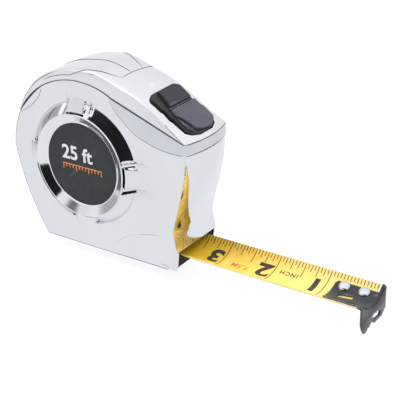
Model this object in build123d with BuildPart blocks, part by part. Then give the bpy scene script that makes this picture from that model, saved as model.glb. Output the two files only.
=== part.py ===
from build123d import *
import math
import os

os.makedirs("parts", exist_ok=True)

# Hand-held pocket tape measure, 25 ft of one inch blade.  Millimetres, +Z up.
# Origin: on the base, under the reel axle, in the middle of the case width.  +X points at the hook.

# ---- driving sizes -------------------------------------------------------------------------
case_half = 16.0        # half the width over the two side covers
cover_t = 1.6           # side cover thickness
wall = 1.8              # wall of the frame between the covers
hook_x = 139.3          # outer face of the hook, so the pull-out in the modelled state
blade_half = 11.4       # half the chord of the curved blade
blade_sag = 5.15        # depth of the blade's curve
blade_t = 0.25          # blade with its coating
coil_r = 32.0           # wound blade, outside
coil_in_r = 24.6        # wound blade, inside, for 7.5 m of blade
reel_half = 12.7        # half the width of the drum between its flanges

# ---- clearances ----------------------------------------------------------------------------
gap = 0.3               # free gap between pieces that move past each other
running = 0.05          # radial clearance of a shaft in its bore
seat = 0.05             # gap of a piece let into another

# ---- sizes that follow ---------------------------------------------------------------------
long = tall = coil_r / 32.0               # the case grows with the wound blade
axle_z = 42.2 * tall                      # height of the reel axle
blade_edge_z = wall + blade_sag + 0.55    # height of the blade's edges outside the case
mouth_top = blade_edge_z + 2.3            # underside of the front wall, over the blade
frame_half = case_half - cover_t          # the frame fills the width between the covers
pin_x, pin_z = 43.0 * long, 68.0 * tall   # toggle pivot
front_x = 50.4 * long                     # front wall over the mouth
shoe_x = front_x - wall - 7.2             # brake shoe, behind the mouth guide
blade_r = (blade_half ** 2 + blade_sag ** 2) / (2 * blade_sag)
blade_cz = blade_edge_z + math.sqrt(blade_r ** 2 - blade_half ** 2)   # centre of the blade's curve


def xz(y):
    """Plane whose sketches have x along +X and y along +Z, at the given Y, extruding towards -Y."""
    return Plane.XZ.offset(-y)


def at(x, z):
    """A point of the case in side view, in the sizes of the 32 mm reel, for the reel in use."""
    return x * long, z * tall


def outline(d=0.0):
    """Side view of the case below the crown, moved in by d all round, as a flat face."""
    shifts = [(-25.5, 0.0, 0.6, 1.0), (49.2, 0.0, -0.9, 1.0), (50.4, mouth_top / tall, -1.0, 0.0),
              (48.5, 20.7, -1.0, 0.0), (52.7, 36.3, -1.0, 0.0), (55.2, 52.8, -1.0, 0.0),
              (55.9, 63.0, -1.0, -0.7), (17.0, 77.0, -0.44, -0.9), (-20.0, 76.9, 0.46, -0.89),
              (-41.9, 43.0, 1.0, 0.0), (-36.2, 21.5, 0.92, 0.38)]
    points = [(x * long + d * dx, z * tall + d * dz) for x, z, dx, dz in shifts]
    heel, toe, lip, waist, chest, brow, corner, bend, back_hi, back, back_lo = points
    with BuildSketch() as flat:
        with BuildLine():
            Line(heel, toe)
            Line(toe, lip)
            Spline(lip, waist, chest, brow, corner)
            Line(corner, bend)
            ThreePointArc(bend, back_hi, back)
            ThreePointArc(back, back_lo, heel)
        make_face()
    return flat.sketch


def crown_low(x):
    """Height of the case outline's top edge at x, in the sizes of the 32 mm reel."""
    if x > 17:
        return 77.0 - 14.0 * (x - 17.0) / 38.9
    return 40.0 + math.sqrt(41.3 ** 2 - (x + 1.0) ** 2)


def crown(k, drop=0.0, under=0.0, x0=-36.0, x1=55.9):
    """Strip between the case outline (or lower by under) and the crown (lower by drop) above it."""
    tops = [(x0, 0.0), (-26.0, 4.5), (-14.4, 4.7), (1.3, 5.3), (17.4, 6.6), (33.0, 6.7), (x1, 0.2)]
    low = [at(x, crown_low(x) + gap - under) for x in (x0, -27.0, -10.0, 4.0, 17.0, x1)]
    high = [at(x, crown_low(x) + 2 * gap + k * h - drop) for x, h in tops]
    with BuildSketch() as flat:
        with BuildLine():
            Spline(*low[:5])
            Line(low[4], low[5])
            Line(low[5], high[6])
            Line(high[6], high[5])
            Spline(*reversed(high[:6]))
            Line(high[0], low[0])
        make_face()
    return flat.sketch


# ---- case ----------------------------------------------------------------------------------
front_rows = [(mouth_top / tall, 50.4, 0.2), (20.7, 48.5, 0.6), (36.3, 52.7, 2.0), (52.8, 55.2, 3.2), (62.9, 55.8, 2.6)]


def front_block(inset):
    """The front wall's block: its face bows forward more and more towards the top."""
    half = frame_half - 0.6 - inset
    with BuildPart() as block:
        for z0, x0, bow in front_rows:
            x, z = at(x0, z0)
            with BuildSketch(Plane.XY.offset(z)):
                with BuildLine():
                    ThreePointArc((x - inset, -half), (x + bow - inset, 0), (x - inset, half))
                    Line((x - inset, half), (40 * long, half))
                    Line((40 * long, half), (40 * long, -half))
                    Line((40 * long, -half), (x - inset, -half))
                make_face()
        loft(ruled=True)
    return block.part


post_spots = [at(38.5, 61.5), at(33.5, 17.5), at(-24.0, 10.5), at(-24.8, 68.0)]   # in the corners
post_r = 1.95
screw_r = 1.2

with BuildPart() as hollow:
    with BuildSketch(xz(frame_half)):
        add(outline(wall))
    extrude(amount=2 * frame_half)

with BuildPart() as case_frame:
    with BuildSketch(xz(frame_half)):
        add(outline())
    extrude(amount=2 * frame_half)
    add(front_block(0))
    add(hollow.part, mode=Mode.SUBTRACT)
    add(front_block(wall + 0.25), mode=Mode.SUBTRACT)
    # the mouth, open across the whole width between the covers
    with Locations((front_x + 1.6, 0, mouth_top / 2 + 1.7)):
        Box(22, 2 * frame_half - 0.6, mouth_top - 3.4, mode=Mode.SUBTRACT)
    with Locations((front_x + 2.1, 0, mouth_top / 2)):
        Box(14, 2 * frame_half + 2, mouth_top, mode=Mode.SUBTRACT)
    # window under the toggle
    with Locations((pin_x + 0.5, 0, pin_z + 2)):
        Box(24, 25.6, 16, mode=Mode.SUBTRACT)
    # recess for the black base plate
    with Locations((11, 0, 0.4)):
        Box(66.1, 26.1, 1.0, mode=Mode.SUBTRACT)
case_frame.part.label = "case_frame"
export_step(case_frame.part, "parts/case_frame.step")

with BuildPart() as base_plate:
    with BuildSketch(Plane.XY):
        with Locations((11, 0)):
            RectangleRounded(66, 26, 3)
    extrude(amount=0.85)
    with BuildSketch(Plane.XY):
        for x in (-14, -4, 6, 16, 26, 36):
            with Locations((x, 0)):
                SlotOverall(20, 2.4, rotation=90)
    extrude(amount=0.35, mode=Mode.SUBTRACT)
base_plate.part.label = "base_plate"
export_step(base_plate.part, "parts/base_plate.step")

# crown: the raised top with bevelled shoulders, hollow below
shoulder = 14.2
with BuildPart() as top_cover:
    with BuildSketch(xz(shoulder)):
        add(crown(1.0))
    extrude(amount=2 * shoulder)
    for side in (-1, 1):
        with BuildSketch(xz(side * shoulder)):
            add(crown(1.0))
        with BuildSketch(xz(side * case_half)):
            add(crown(0.08))
        loft(ruled=True)
    with BuildSketch(xz(12.6)):
        add(crown(1.0, drop=1.8, under=6.0, x0=-30.0, x1=50.0))
    extrude(amount=25.2, mode=Mode.SUBTRACT)
    with Locations((pin_x + 1.4, 0, pin_z + 2)):
        Box(24.4, 21.8, 40, mode=Mode.SUBTRACT)
    for side in (-1, 1):                      # lugs that hold the toggle pin
        with Locations((pin_x, side * 11.75, pin_z)):
            Box(6.0, 1.7, 3.6)
    with BuildSketch(xz(13)):
        with Locations((pin_x, pin_z)):
            Circle(1.2 + running)
    extrude(amount=26, mode=Mode.SUBTRACT)
top_cover.part.label = "top_cover"
export_step(top_cover.part, "parts/top_cover.step")

# side covers with their boss, channel and bezel seat
bezel_r, rim_r, label_r, channel_r = 26.0, 24.5, 19.9, 30.0      # the bezel is a dish: its rim stands out


def side_cover(side):
    """Plate with a shallow channel round the bezel and a hole for the axle."""
    inner = side * frame_half
    with BuildPart() as plate:
        with BuildSketch(xz(inner)):
            add(outline())
        extrude(amount=-side * cover_t)
        with BuildSketch(xz(side * (case_half - 0.6))):
            with Locations((0, axle_z)):
                Circle(channel_r)
        extrude(amount=-side * 0.6, mode=Mode.SUBTRACT)
        with BuildSketch(xz(inner)):
            with Locations((0, axle_z)):
                Circle(4.2 + seat)
        extrude(amount=-side * cover_t, mode=Mode.SUBTRACT)
    return plate.part


with BuildPart() as left_cover:
    add(side_cover(-1))
    for x, z in post_spots:                   # posts reach across the case to the other cover
        with BuildSketch(xz(-frame_half + 0.0)):
            with Locations((x, z)):
                Circle(post_r)
        extrude(amount=-2 * frame_half + 0.1)
    for x, z in post_spots:
        with BuildSketch(xz(frame_half)):
            with Locations((x, z)):
                Circle(screw_r)
        extrude(amount=14, mode=Mode.SUBTRACT)
left_cover.part.label = "left_cover"
export_step(left_cover.part, "parts/left_cover.step")

with BuildPart() as right_cover:
    add(side_cover(1))
    for x, z in post_spots:
        with BuildSketch(xz(case_half)):
            with Locations((x, z)):
                Circle(2.4)
        extrude(amount=0.9, mode=Mode.SUBTRACT)
        with BuildSketch(xz(case_half)):
            with Locations((x, z)):
                Circle(screw_r + 0.1)
        extrude(amount=cover_t, mode=Mode.SUBTRACT)
right_cover.part.label = "right_cover"
export_step(right_cover.part, "parts/right_cover.step")

with BuildPart() as case_screws:
    for x, z in post_spots:
        with BuildSketch(xz(case_half - 0.95 + 0.85)):
            with Locations((x, z)):
                Circle(2.3)
        extrude(amount=0.8)
        with BuildSketch(xz(case_half - 0.9)):
            with Locations((x, z)):
                Circle(screw_r - 0.02)
        extrude(amount=12)
        with BuildSketch(xz(case_half)):
            with Locations((x, z)):
                Rectangle(2.6, 0.5)
                Rectangle(0.5, 2.6)
        extrude(amount=0.5, mode=Mode.SUBTRACT)
case_screws.part.label = "case_screws"
export_step(case_screws.part, "parts/case_screws.step")

for side, word in ((-1, "left"), (1, "right")):
    face = case_half - 0.6
    with BuildPart() as bezel:
        with BuildSketch(Plane.XY.offset(axle_z)):
            with BuildLine():
                Polyline((label_r + 0.1, side * face), (bezel_r, side * face),
                         (rim_r + 0.3, side * (face + 4.7)), (rim_r, side * (face + 4.7)),
                         (label_r + 0.5, side * (face + 2.2)), (label_r + 0.1, side * (face + 2.2)),
                         close=True)
            make_face()
        revolve(axis=Axis((0, 0, axle_z), (0, 1, 0)), revolution_arc=360)
    bezel.part.label = f"bezel_{word}"
    export_step(bezel.part, f"parts/bezel_{word}.step")

    with BuildPart() as label:
        with BuildSketch(xz(side * face)):
            with Locations((0, axle_z)):
                Circle(label_r)
                if side > 0:
                    Circle(3.0, mode=Mode.SUBTRACT)
        extrude(amount=-side * 2.1)
    label.part.label = f"label_{word}"
    export_step(label.part, f"parts/label_{word}.step")

# mouth: a rubber hook bumper under the blade, and the black guide above it
with BuildPart() as hook_bumper:
    with Locations((front_x - 4.9, 0, 4.4)):
        Box(8.0, 2 * frame_half - 0.2, 8.4)
    with BuildSketch(Plane.YZ.offset(front_x - 14)):
        with Locations((0, blade_cz)):
            Circle(blade_r + blade_t + 0.15)
        with Locations((0, blade_edge_z + 3)):
            Rectangle(2 * blade_half + 1.0, 8.0)
    extrude(amount=20, mode=Mode.SUBTRACT)
    with Locations((front_x - 4, 0, 0)):
        Box(20, 40, 2 * (wall + 0.05), mode=Mode.SUBTRACT)
hook_bumper.part.label = "hook_bumper"
export_step(hook_bumper.part, "parts/hook_bumper.step")

with BuildPart() as mouth_guide:
    with Locations((front_x - wall - 1.2, 0, mouth_top + 1.0)):
        Box(3.2, 2 * frame_half - 0.6, 1.9)
    add(front_block(wall + 0.3), mode=Mode.INTERSECT)
mouth_guide.part.label = "mouth_guide"
export_step(mouth_guide.part, "parts/mouth_guide.step")

# ---- reel ----------------------------------------------------------------------------------
with BuildPart() as arbor:
    with BuildSketch(xz(case_half - 0.65)):
        with Locations((0, axle_z)):
            Circle(4.2)
    extrude(amount=2 * case_half - 1.3)
    with Locations((0, 0, axle_z)):           # slot that holds the power spring
        Box(1.0, 18, 9, mode=Mode.SUBTRACT)
    with BuildSketch(xz(case_half)):
        with Locations((0, axle_z)):
            Circle(1.5)
    extrude(amount=9, mode=Mode.SUBTRACT)
arbor.part.label = "arbor"
export_step(arbor.part, "parts/arbor.step")

hub_r = 4.2 + running
with BuildPart() as reel_drum:
    with BuildSketch(xz(reel_half)):
        with Locations((0, axle_z)):
            Circle(coil_in_r - 0.1)
            Circle(coil_in_r - 1.6, mode=Mode.SUBTRACT)
    extrude(amount=2 * reel_half)
reel_drum.part.label = "reel_drum"
export_step(reel_drum.part, "parts/reel_drum.step")

for side, word in ((-1, "left"), (1, "right")):
    with BuildPart() as flange:
        with BuildSketch(xz(side * reel_half)):
            with Locations((0, axle_z)):
                Circle(coil_r + 1.0)
                Circle(hub_r, mode=Mode.SUBTRACT)
                with PolarLocations(13.5, 5):
                    Circle(5.0, mode=Mode.SUBTRACT)
        extrude(amount=-side * 0.9)
        with BuildSketch(xz(side * (reel_half - 2.4))):
            with Locations((0, axle_z)):
                Circle(coil_in_r - 1.65)
                Circle(coil_in_r - 2.6, mode=Mode.SUBTRACT)
        extrude(amount=-side * 2.4)
    flange.part.label = f"reel_flange_{word}"
    export_step(flange.part, f"parts/reel_flange_{word}.step")

with BuildPart() as blade_coil:
    with BuildSketch(xz(reel_half - 0.1)):
        with Locations((0, axle_z)):
            Circle(coil_r)
            Circle(coil_in_r, mode=Mode.SUBTRACT)
    extrude(amount=2 * reel_half - 0.2)
blade_coil.part.label = "blade_coil"
export_step(blade_coil.part, "parts/blade_coil.step")

# flat spiral power spring, drawn as a run of half turns
spring_t, spring_in, spring_out, half_turns = 0.6, hub_r + 0.5, coil_in_r - 4.4, 15
with BuildPart() as power_spring:
    with BuildSketch(xz(9.6)):
        step = (spring_out - spring_in) / half_turns
        for i in range(half_turns):
            r0 = spring_in + i * step
            r1 = r0 + step
            sign = 1 if i % 2 == 0 else -1
            mid_r = (r0 + r1) / 2
            centre = sign * (r0 - mid_r)
            with BuildLine():
                a = ThreePointArc((sign * r0, axle_z), (centre, axle_z + sign * mid_r),
                                  (-sign * r1, axle_z))
                b = ThreePointArc((sign * (r0 + spring_t), axle_z),
                                  (centre, axle_z + sign * (mid_r + spring_t)),
                                  (-sign * (r1 + spring_t), axle_z))
                Line(a @ 0, b @ 0)
                Line(a @ 1, b @ 1)
            make_face()
    extrude(amount=19.2)
power_spring.part.label = "power_spring"
export_step(power_spring.part, "parts/power_spring.step")

# ---- blade and hook ------------------------------------------------------------------------
blade_x0 = 3.0          # where the blade leaves the coil


def blade_section(x, half, sag, edge_z):
    """The blade's curved section at x, as a face in place."""
    with BuildSketch(Plane.YZ.offset(x)) as section:
        with BuildLine():
            up = ThreePointArc((-half, edge_z), (0, edge_z - sag), (half, edge_z))
            dn = ThreePointArc((-half, edge_z - blade_t), (0, edge_z - sag - blade_t),
                               (half, edge_z - blade_t))
            Line(up @ 0, dn @ 0)
            Line(up @ 1, dn @ 1)
        make_face()
    return section.sketch


coil_low = axle_z - coil_r                # underside of the wound blade
with BuildPart() as blade:
    loft([blade_section(blade_x0, blade_half + 1.2, 0.25, coil_low - 0.15),
          blade_section(36, blade_half, blade_sag, blade_edge_z)], ruled=True)
    extrude(blade_section(36, blade_half, blade_sag, blade_edge_z), amount=hook_x - 1.2 - 36)
blade.part.label = "blade"
export_step(blade.part, "parts/blade.step")

rivet_spots = [(122.3, 6.3), (131.7, 6.3)]
plate_lo, plate_hi = blade_r - 1.0 - 0.05, blade_r - 0.05      # radii of the hook's top plate
hook_len = 21.6
hook_drop = 13.6
play = 0.8              # half of the hook's slide on its rivets


def blade_frame(y):
    """Place on the blade's curve at y: the tilt of the surface there."""
    return math.degrees(math.asin(y / blade_r))


with BuildPart() as hook:
    with BuildSketch(Plane.YZ.offset(hook_x - hook_len)):
        with BuildLine():
            a0, a1 = math.radians(-47), math.radians(31)
            mid = (a0 + a1) / 2
            pts = [[(r * math.sin(a), blade_cz - r * math.cos(a)) for a in (a0, mid, a1)]
                   for r in (plate_lo, plate_hi)]
            ThreePointArc(*pts[0])
            ThreePointArc(*pts[1])
            Line(pts[0][0], pts[1][0])
            Line(pts[0][2], pts[1][2])
        make_face()
    extrude(amount=hook_len)
    with BuildSketch(Plane.XY.offset(-2)):    # slanted rear corner on the near side
        with BuildLine():
            Polyline((hook_x - hook_len - 1, -3.0), (hook_x - hook_len, -3.0),
                     (hook_x - hook_len + 3.6, -12.0), (hook_x - hook_len - 1, -12.0), close=True)
        make_face()
    extrude(amount=16, mode=Mode.SUBTRACT)
    with BuildSketch(Plane.XY.offset(-2)):    # slotted rivet holes and the window beside them
        for x, y in rivet_spots:
            with Locations((x, y)):
                SlotOverall(3.0 + 2 * play + 0.8, 3.8)
        with Locations((125.4, 0.6)):
            SlotOverall(7.0, 3.0, rotation=25)
    extrude(amount=16, mode=Mode.SUBTRACT)
    with BuildSketch(Plane.YZ.offset(hook_x - 1.1)):
        with BuildLine():
            w = blade_half + 0.3
            top_mid = blade_cz - plate_lo
            ThreePointArc((-w, blade_edge_z + 0.7), (0, top_mid), (w, blade_edge_z + 0.7))
            Polyline((w, blade_edge_z + 0.7), (w, blade_edge_z - hook_drop + 3.0),
                     (w - 3.0, blade_edge_z - hook_drop), (1.5, blade_edge_z - hook_drop),
                     (0.5, blade_edge_z - hook_drop + 1.6), (-3.0, blade_edge_z - hook_drop + 1.6),
                     (-4.0, blade_edge_z - hook_drop), (-w + 2.0, blade_edge_z - hook_drop),
                     (-w, blade_edge_z - hook_drop + 2.0), (-w, blade_edge_z + 0.7))
        make_face()
    extrude(amount=1.1)
    with BuildSketch(Plane.YZ.offset(hook_x - 2)):
        with Locations((1.8, -1.6)):
            SlotOverall(7.0, 2.6, rotation=20)
    extrude(amount=4, mode=Mode.SUBTRACT)
hook.part.label = "hook"
export_step(hook.part, "parts/hook.step")

with BuildPart() as hook_rivets:
    for x, y in rivet_spots:
        tilt = blade_frame(y)
        z = blade_cz - math.sqrt(blade_r ** 2 - y ** 2)
        spot = Plane(origin=(x, y, z), x_dir=(1, 0, 0),
                     z_dir=(0, -math.sin(math.radians(tilt)), math.cos(math.radians(tilt))))
        with BuildSketch(spot.offset(0.12)):
            Circle(1.4)
        extrude(amount=1.5)
        with BuildSketch(spot.offset(1.6)):
            Circle(2.5)
        extrude(amount=0.8, taper=25)
hook_rivets.part.label = "hook_rivets"
export_step(hook_rivets.part, "parts/hook_rivets.step")

# ---- toggle lock and brake -----------------------------------------------------------------
def on_top(x, above=0.0):
    """Point of the toggle in side view: x from the pin, height over the sloping top."""
    return pin_x + x, pin_z + 4.0 - 0.648 * x + above


with BuildPart() as toggle:
    with BuildSketch(xz(10.2)):
        with BuildLine():
            Polyline(on_top(-9.6, -4.0), on_top(-9.6, 1.0), on_top(-8.4, 1.5), on_top(-1.0, 1.8),
                     on_top(0.0, 1.0), on_top(1.0, 1.8), on_top(11.6, 2.3), on_top(13.0, 1.4),
                     on_top(13.0, 0.3), on_top(9.0, -3.0), (pin_x + 2.0, pin_z - 2.2),
                     (pin_x - 2.0, pin_z - 2.2), on_top(-5.0, -3.0), close=True)
        make_face()
        with Locations((pin_x, pin_z)):
            Circle(1.2 + running, mode=Mode.SUBTRACT)
    extrude(amount=20.4)
    for side in (-1, 1):                      # the front pad is narrower than the rear one
        with BuildSketch(Plane.XY.offset(pin_z - 10)):
            with BuildLine():
                Polyline((pin_x + 5, side * 10.6), (pin_x + 14, side * 10.6),
                         (pin_x + 14, side * 7.0), close=True)
            make_face()
        extrude(amount=30, mode=Mode.SUBTRACT)
toggle.part.label = "toggle"
export_step(toggle.part, "parts/toggle.step")

with BuildPart() as toggle_pin:
    with BuildSketch(xz(12.5)):
        with Locations((pin_x, pin_z)):
            Circle(1.2)
    extrude(amount=25)
toggle_pin.part.label = "toggle_pin"
export_step(toggle_pin.part, "parts/toggle_pin.step")

with BuildPart() as brake_arm:
    with BuildSketch(xz(5)):
        with BuildLine():
            Polyline((pin_x + 8.6, pin_z - 6.6), at(50.0, 45.0), at(44.6, 26.0), (shoe_x + 3.0, 12.6),
                     (shoe_x - 1.5, 12.6), (shoe_x - 1.5, 14.6), (shoe_x + 0.6, 15.2), at(42.2, 26.5),
                     at(47.4, 45.6), (pin_x + 5.8, pin_z - 6.6), close=True)
        make_face()
    extrude(amount=10)
brake_arm.part.label = "brake_arm"
export_step(brake_arm.part, "parts/brake_arm.step")

with BuildPart() as brake_shoe:
    with Locations((shoe_x, 0, 10.45)):
        Box(6.0, 22.0, 4.2)
    with Locations((shoe_x, 0, 9.8)):           # the middle stays clear of the blade's hollow
        Box(3.0, 16.0, 3.0, mode=Mode.SUBTRACT)
brake_shoe.part.label = "brake_shoe"
export_step(brake_shoe.part, "parts/brake_shoe.step")

with BuildPart() as detent_spring:
    with BuildSketch(xz(4)):
        with BuildLine():
            Polyline(at(22.0, crown_low(22) + 0.1), at(29.5, crown_low(29.5) + 0.1),
                     on_top(-7.0, -5.2), on_top(-6.8, -4.8), at(29.6, crown_low(29.6) + 0.5),
                     at(22.0, crown_low(22) + 0.5), close=True)
        make_face()
    extrude(amount=8)
detent_spring.part.label = "detent_spring"
export_step(detent_spring.part, "parts/detent_spring.step")

# ---- belt clip on the far side -------------------------------------------------------------
clip_y = case_half - 0.6 + 2.6 + 0.1
with BuildPart() as belt_clip:
    with BuildSketch(Plane.YZ.offset(-9)):
        with BuildLine():
            Polyline((clip_y, axle_z + 10), (clip_y, axle_z - 8), (clip_y + 4.2, axle_z - 9.5),
                     (clip_y + 4.2, axle_z - 26), (clip_y + 3.0, axle_z - 30),
                     (clip_y + 4.0, axle_z - 30.4), (clip_y + 5.3, axle_z - 26.2),
                     (clip_y + 5.3, axle_z - 8.6), (clip_y + 1.1, axle_z - 7), (clip_y + 1.1, axle_z + 10),
                     close=True)
        make_face()
    extrude(amount=18)
    with BuildSketch(xz(clip_y + 2)):
        with Locations((0, axle_z)):
            Circle(1.6)
    extrude(amount=4, mode=Mode.SUBTRACT)
belt_clip.part.label = "belt_clip"
export_step(belt_clip.part, "parts/belt_clip.step")

with BuildPart() as clip_screw:
    with BuildSketch(xz(clip_y + 1.1 + 1.5)):
        with Locations((0, axle_z)):
            Circle(3.0)
    extrude(amount=1.45)
    with BuildSketch(xz(clip_y + 1.2)):
        with Locations((0, axle_z)):
            Circle(1.45)
    extrude(amount=8.6)
    with Locations((0, clip_y + 2.6, axle_z)):
        Box(4.2, 1.4, 0.8, mode=Mode.SUBTRACT)
        Box(0.8, 1.4, 4.2, mode=Mode.SUBTRACT)
clip_screw.part.label = "clip_screw"
export_step(clip_screw.part, "parts/clip_screw.step")
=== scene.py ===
"""Looks of the pocket tape measure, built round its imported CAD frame.

Shapes are worked out in millimetres.
"""

import cmath
import math

import bmesh
import bpy
from mathutils import Matrix, Vector


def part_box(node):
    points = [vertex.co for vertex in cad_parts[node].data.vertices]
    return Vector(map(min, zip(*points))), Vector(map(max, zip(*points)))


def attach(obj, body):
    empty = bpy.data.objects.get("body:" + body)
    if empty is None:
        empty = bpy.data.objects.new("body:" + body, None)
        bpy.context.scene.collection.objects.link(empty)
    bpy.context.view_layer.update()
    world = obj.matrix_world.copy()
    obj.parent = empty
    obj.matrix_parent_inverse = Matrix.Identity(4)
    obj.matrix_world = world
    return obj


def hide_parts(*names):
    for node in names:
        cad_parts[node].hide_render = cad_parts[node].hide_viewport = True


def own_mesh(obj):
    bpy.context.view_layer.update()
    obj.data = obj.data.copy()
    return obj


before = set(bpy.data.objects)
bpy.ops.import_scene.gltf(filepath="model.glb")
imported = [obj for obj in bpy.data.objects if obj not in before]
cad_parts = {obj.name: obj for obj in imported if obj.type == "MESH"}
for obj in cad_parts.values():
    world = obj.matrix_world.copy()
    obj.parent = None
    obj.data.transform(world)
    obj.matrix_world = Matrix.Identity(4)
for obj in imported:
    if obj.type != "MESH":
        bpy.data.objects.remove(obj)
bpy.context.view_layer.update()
MM = 0.001


def span(node):
    """Lowest and highest corner of a CAD node, in millimetres."""
    lo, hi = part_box(node)
    return lo / MM, hi / MM


# ---- driving sizes, most of them read from the frame
hook_lo, hook_hi = span("hook")
label_lo, label_hi = span("label_left")
HALF = -span("left_cover")[0].y  # half width over the side covers
AXLE_Z = (label_lo.z + label_hi.z) / 2
RIM_Y = -span("bezel_left")[0].y  # how far the bezel's rim stands out
LABEL_Y = -label_lo.y
MOUTH_Z = span("mouth_guide")[0].z - 0.05  # underside of the front wall
HOOK_X = hook_hi.x  # outer face of the hook
HOOK_X0 = hook_lo.x  # inner end of its plate
HOOK_Z0 = hook_lo.z  # its lowest point
FLOOR_Z = HOOK_Z0 - 0.1
BLADE_HALF = 11.4  # half the chord of the curved blade
BLADE_R = 15.24  # radius of the blade's curve
BLADE_CZ = 17.6  # height of that curve's centre
BLADE_TIP = span("blade")[1].x
BLADE_SHORT = 1.5  # the strip ends this far before the CAD's blade
PIN = Vector((43, 0, 68))  # toggle pivot


# ---- mesh helpers
def add_object(name, data):
    """A new object in the scene."""
    made = bpy.data.objects.new(name, data)
    bpy.context.scene.collection.objects.link(made)
    return made


def finish_mesh(name, bm, material, body, replaces, sharp=32, merge=0):
    """Turns a bmesh in millimetres into a piece in metres that rides on body.

    sharp is the angle in degrees from which an edge is creased; merge joins points closer than it.
    """
    if merge:
        bmesh.ops.remove_doubles(bm, verts=bm.verts, dist=merge)
    bmesh.ops.recalc_face_normals(bm, faces=bm.faces)
    for edge in bm.edges:
        if len(edge.link_faces) == 2:
            edge.smooth = edge.calc_face_angle(0) < math.radians(sharp)
    for face in bm.faces:
        face.smooth = True
    bmesh.ops.scale(bm, vec=(MM, MM, MM), verts=bm.verts)
    mesh = bpy.data.meshes.new(name)
    bm.to_mesh(mesh)
    bm.free()
    mesh.materials.append(material)
    piece = add_object(name, mesh)
    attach(piece, body)
    if replaces:
        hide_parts(*replaces)
    return piece


def even(low, high, count):
    """count + 1 evenly spaced values from low to high."""
    return [low + (high - low) * k / count for k in range(count + 1)]


def add_grid(bm, rows, closed=False):
    """Quads between rows of points; closed joins the last row to the first."""
    made = [[bm.verts.new(p) for p in row] for row in rows]
    pairs = list(zip(made, made[1:])) + ([(made[-1], made[0])] if closed else [])
    for a, b in pairs:
        for i in range(len(a) - 1):
            bm.faces.new([a[i], a[i + 1], b[i + 1], b[i]])


def add_bevel(piece, width, segments=2, angle=35):
    """Rounds the sharp edges of a piece by width millimetres."""
    bevel = piece.modifiers.new("edge", "BEVEL")
    bevel.width = width * MM
    bevel.segments = segments
    bevel.limit_method = "ANGLE"
    bevel.angle_limit = math.radians(angle)


OFF_AXIS = Vector((0.3, 1, 0.2))  # a direction that no bead runs along
BEAD_TAPER = 0.25  # share of the radius gained per point from an end


def add_tube(bm, points, radius, sides=6):
    """A thin round bead along points, for the painted shade in panel gaps, with tapered ends."""
    rows = []
    last = len(points) - 1
    for i, p in enumerate(points):
        ahead = (points[min(i + 1, last)] - points[max(i - 1, 0)]).normalized()
        side = ahead.cross(OFF_AXIS).normalized()
        up = ahead.cross(side)
        reach = radius * min(1, BEAD_TAPER * (1 + min(i, last - i)))
        rows.append([p + (side * math.cos(a) + up * math.sin(a)) * reach
                     for a in even(0, 2 * math.pi, sides)])
    add_grid(bm, rows)


def add_prism(bm, outline, low, high, place):
    """A solid between two heights over a flat outline; place(u, v, height) gives a point."""
    tops = [bm.verts.new(place(u, v, high)) for u, v in outline]
    feet = [bm.verts.new(place(u, v, low)) for u, v in outline]
    bm.faces.new(tops)
    bm.faces.new(list(reversed(feet)))
    count = len(outline)
    for i in range(count):
        j = (i + 1) % count
        bm.faces.new([tops[j], tops[i], feet[i], feet[j]])


def smooth_path(points, steps):
    """Catmull-Rom curve through points."""
    ends = [points[0]] + list(points) + [points[-1]]
    out = []
    for i in range(1, len(ends) - 2):
        a, b, c, d = (Vector(p) for p in ends[i - 1:i + 3])
        for k in range(steps):
            t = k / steps
            out.append(0.5 * (2 * b + (c - a) * t + (2 * a - 5 * b + 4 * c - d) * t ** 2
                              + (3 * b - a - 3 * c + d) * t ** 3))
    out.append(Vector(points[-1]))
    return out


def arc_through(a, b, c, steps):
    """Points on the circle from a through b to c."""
    a, b, c = complex(*a), complex(*b), complex(*c)
    w = (c - a) / (b - a)
    centre = a - (a - b) * (w - abs(w) ** 2) / (2j * w.imag)
    start, middle, end = (cmath.phase(p - centre) for p in (a, b, c))
    turn = (end - start) % (2 * math.pi)
    if (middle - start) % (2 * math.pi) > turn:
        turn -= 2 * math.pi
    points = [centre + cmath.rect(abs(a - centre), start + t) for t in even(0, turn, steps)]
    return [(p.real, p.imag) for p in points]


def ramp(value, low, high):
    """0 below low, 1 above high, smooth between."""
    t = min(1, max(0, (value - low) / (high - low)))
    return t * t * (3 - 2 * t)


def read_off(line, at):
    """Value at a place on a line of (place, value) pairs, and that of the nearer end outside it."""
    for (a, low), (b, high) in zip(line, line[1:]):
        if a <= at <= b:
            return low + (high - low) * (at - a) / max(1e-6, b - a)
    return line[0][1] if at < line[0][0] else line[-1][1]


# ---- materials
NOISE_ROUGHNESS = 0.55
WEAR_AND_HIGHLIGHT_FROM, WEAR_AND_HIGHLIGHT_TO = 0.53, 0.6  # pointiness where the edge wear and painted edge highlight start and where they are full
WEAR_AND_HIGHLIGHT_MOST = 0.8  # share of the lighter edge colour, part wear and part painted highlight, at its fullest
BUMP_DEPTH = 0.0001  # metres


def set_inputs(node, values):
    """Sets inputs of a node by name."""
    for name, value in values.items():
        node.inputs[name].default_value = value


def noise(tree, scale, detail=3):
    """Noise in object space."""
    coords = tree.nodes.new("ShaderNodeTexCoord")
    node = tree.nodes.new("ShaderNodeTexNoise")
    set_inputs(node, {"Scale": scale, "Detail": detail, "Roughness": NOISE_ROUGHNESS})
    tree.links.new(coords.outputs["Object"], node.inputs["Vector"])
    return node.outputs["Fac"]


def spread(tree, source, low, high, from_low=0.3, from_high=0.7, kind="LINEAR"):
    """Maps a signal between from_low and from_high to low..high."""
    node = tree.nodes.new("ShaderNodeMapRange")
    node.interpolation_type = kind
    set_inputs(node, {"From Min": from_low, "From Max": from_high, "To Min": low, "To Max": high})
    tree.links.new(source, node.inputs["Value"])
    return node.outputs["Result"]


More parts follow.
